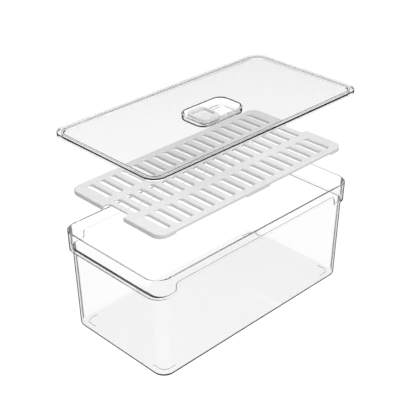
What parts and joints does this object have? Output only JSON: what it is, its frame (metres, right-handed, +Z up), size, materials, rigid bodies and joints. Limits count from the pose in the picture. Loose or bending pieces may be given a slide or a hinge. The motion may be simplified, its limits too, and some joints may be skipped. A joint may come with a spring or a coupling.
{
  "type": "lidded fridge storage bin",
  "caption": "Clear tapered fridge bin with an outward-stepped collar, a slotted drain tray inside and a flat lift-off lid with a sliding air vent, shown opened out.",
  "frame": {"origin": "centre of the bin's base, on the surface it stands on", "axes": "+Z up, +X along the long side, +Y across the short side; the vent slider's open position is on the -X side"},
  "size_m": [0.3206, 0.161, 0.2504],
  "materials": {
    "bin_clear": "clear moulded plastic, polished",
    "tray_pale": "pale grey-white moulded plastic, fine satin",
    "lid_clear": "clear moulded plastic, polished",
    "slider_pale": "pale grey moulded plastic, satin",
    "retainer_pale": "pale grey moulded plastic, satin"
  },
  "bodies": {
    "bin": {"bin_shell": "bin_clear"},
    "tray": {"drain_tray": "tray_pale"},
    "lid": {"lid_panel": "lid_clear"},
    "vent": {"vent_slider": "slider_pale", "vent_retainer": "retainer_pale"}
  },
  "joints": [
    {"name": "lid_lift", "type": "slide", "parent": "bin", "child": "lid", "axis": [0, 0, 1], "range_m": [-0.1177, 0]},
    {"name": "tray_lift", "type": "slide", "parent": "bin", "child": "tray", "axis": [0, 0, 1], "range_m": [-0.1716, 0]},
    {"name": "vent_slide", "type": "slide", "parent": "lid", "child": "vent", "axis": [1, 0, 0], "range_m": [0, 0.028]}
  ],
  "couplings": [
    {"joint": "tray_lift", "follows": "lid_lift", "ratio": 1.4579}
  ]
}
